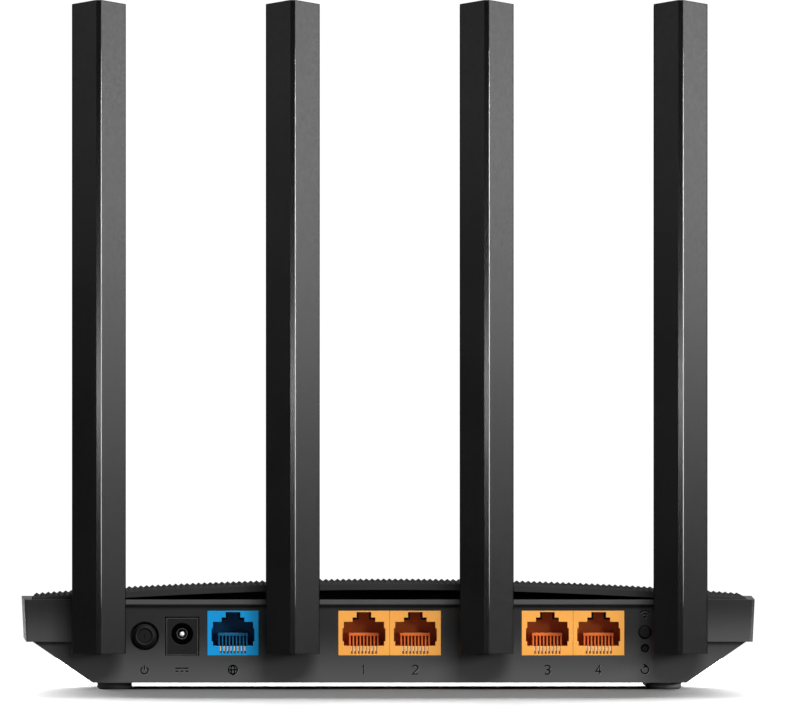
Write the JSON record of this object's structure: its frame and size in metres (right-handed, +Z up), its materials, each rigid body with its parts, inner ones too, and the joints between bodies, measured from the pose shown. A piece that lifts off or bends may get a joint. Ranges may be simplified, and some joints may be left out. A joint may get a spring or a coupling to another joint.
{
  "type": "wireless router",
  "caption": "Flat wireless router: dark ribbed-arch cover, sloping tub, rear panel of network sockets, power inlet and buttons, and tall ridged antennas that swivel and tilt.",
  "frame": {"origin": "on the table plane under the rubber feet, below the middle of the bounding box, antennas upright", "axes": "+Z up; -Y is the side with the sockets and antennas; +X to the right seen from that side"},
  "size_m": [0.2166, 0.1304, 0.202],
  "materials": {
    "case_plastic": "fine matt spark-eroded grain",
    "frame_plastic": "satin",
    "cover_plastic": "moulded pyramid pattern",
    "antenna_plastic": "fine matt grain",
    "knuckle_plastic": "satin",
    "button_plastic": "satin",
    "wan_plastic": "gloss",
    "lan_plastic": "gloss",
    "black_plastic": "satin",
    "lamp_guide": "clear moulded plastic",
    "lamp": "gloss",
    "rubber": "matt",
    "circuit_board": "solder mask on glass laminate",
    "chip_package": "matt",
    "pad": "soft, matt",
    "aluminium": "extruded",
    "steel": "zinc plated",
    "contact_metal": "gold plated",
    "coax_jacket": "smooth jacket"
  },
  "bodies": {
    "case": {"lower_case": "case_plastic", "upper_frame": "frame_plastic", "top_cover": "cover_plastic", "rubber_feet": "rubber", "case_screws": "steel", "main_board": "circuit_board", "board_screws": "steel", "wan_socket": "wan_plastic", "wan_contacts": "contact_metal", "power_socket": "black_plastic", "power_socket_pin": "contact_metal", "power_switch": "black_plastic", "pairing_switch": "black_plastic", "reset_switch": "black_plastic", "heat_sink": "aluminium", "thermal_pad": "pad", "chips": "chip_package", "shield_can_left": "steel", "shield_can_right": "steel", "line_transformers": "chip_package", "capacitors": "chip_package", "coils": "chip_package", "status_lamps": "lamp", "light_guide": "lamp_guide", "coax_leads": "coax_jacket", "lan_socket_1": "lan_plastic", "lan_contacts_1": "contact_metal", "lan_socket_2": "lan_plastic", "lan_contacts_2": "contact_metal", "lan_socket_3": "lan_plastic", "lan_contacts_3": "contact_metal", "lan_socket_4": "lan_plastic", "lan_contacts_4": "contact_metal"},
    "swivel_1": {"knuckle_1": "knuckle_plastic", "swivel_clip_1": "steel"},
    "antenna_1": {"blade_1": "antenna_plastic", "hinge_pin_1": "steel", "blade_cover_1": "antenna_plastic", "radiator_1": "circuit_board"},
    "swivel_2": {"knuckle_2": "knuckle_plastic", "swivel_clip_2": "steel"},
    "antenna_2": {"blade_2": "antenna_plastic", "hinge_pin_2": "steel", "blade_cover_2": "antenna_plastic", "radiator_2": "circuit_board"},
    "swivel_3": {"knuckle_3": "knuckle_plastic", "swivel_clip_3": "steel"},
    "antenna_3": {"blade_3": "antenna_plastic", "hinge_pin_3": "steel", "blade_cover_3": "antenna_plastic", "radiator_3": "circuit_board"},
    "swivel_4": {"knuckle_4": "knuckle_plastic", "swivel_clip_4": "steel"},
    "antenna_4": {"blade_4": "antenna_plastic", "hinge_pin_4": "steel", "blade_cover_4": "antenna_plastic", "radiator_4": "circuit_board"},
    "power_button_body": {"power_button": "button_plastic"},
    "pairing_button_body": {"pairing_button": "button_plastic"},
    "reset_button_body": {"reset_button": "button_plastic"}
  },
  "joints": [
    {"name": "antenna_1_swivel", "type": "hinge", "parent": "case", "child": "swivel_1", "pos_m": [-0.0852, -0.05065, 0.0165], "axis": [0, 1, 0], "range_deg": [-90, 12]},
    {"name": "antenna_1_tilt", "type": "hinge", "parent": "swivel_1", "child": "antenna_1", "pos_m": [-0.0852, -0.05885, 0.0165], "axis": [1, 0, 0], "range_deg": [0, 90]},
    {"name": "antenna_2_swivel", "type": "hinge", "parent": "case", "child": "swivel_2", "pos_m": [-0.0284, -0.05065, 0.0165], "axis": [0, 1, 0], "range_deg": [-12, 12]},
    {"name": "antenna_2_tilt", "type": "hinge", "parent": "swivel_2", "child": "antenna_2", "pos_m": [-0.0284, -0.05885, 0.0165], "axis": [1, 0, 0], "range_deg": [0, 90]},
    {"name": "antenna_3_swivel", "type": "hinge", "parent": "case", "child": "swivel_3", "pos_m": [0.0284, -0.05065, 0.0165], "axis": [0, 1, 0], "range_deg": [-12, 12]},
    {"name": "antenna_3_tilt", "type": "hinge", "parent": "swivel_3", "child": "antenna_3", "pos_m": [0.0284, -0.05885, 0.0165], "axis": [1, 0, 0], "range_deg": [0, 90]},
    {"name": "antenna_4_swivel", "type": "hinge", "parent": "case", "child": "swivel_4", "pos_m": [0.0852, -0.05065, 0.0165], "axis": [0, 1, 0], "range_deg": [-12, 90]},
    {"name": "antenna_4_tilt", "type": "hinge", "parent": "swivel_4", "child": "antenna_4", "pos_m": [0.0852, -0.05885, 0.0165], "axis": [1, 0, 0], "range_deg": [0, 90]},
    {"name": "power_button_press", "type": "slide", "parent": "case", "child": "power_button_body", "axis": [0, 1, 0], "range_m": [0, 0.0015], "stiffness_N_per_m": 700, "springref_m": -0.0006},
    {"name": "pairing_button_press", "type": "slide", "parent": "case", "child": "pairing_button_body", "axis": [0, 1, 0], "range_m": [0, 0.0006], "stiffness_N_per_m": 1200, "springref_m": -0.0006},
    {"name": "reset_button_press", "type": "slide", "parent": "case", "child": "reset_button_body", "axis": [0, 1, 0], "range_m": [0, 0.0006], "stiffness_N_per_m": 1200, "springref_m": -0.0006}
  ]
}
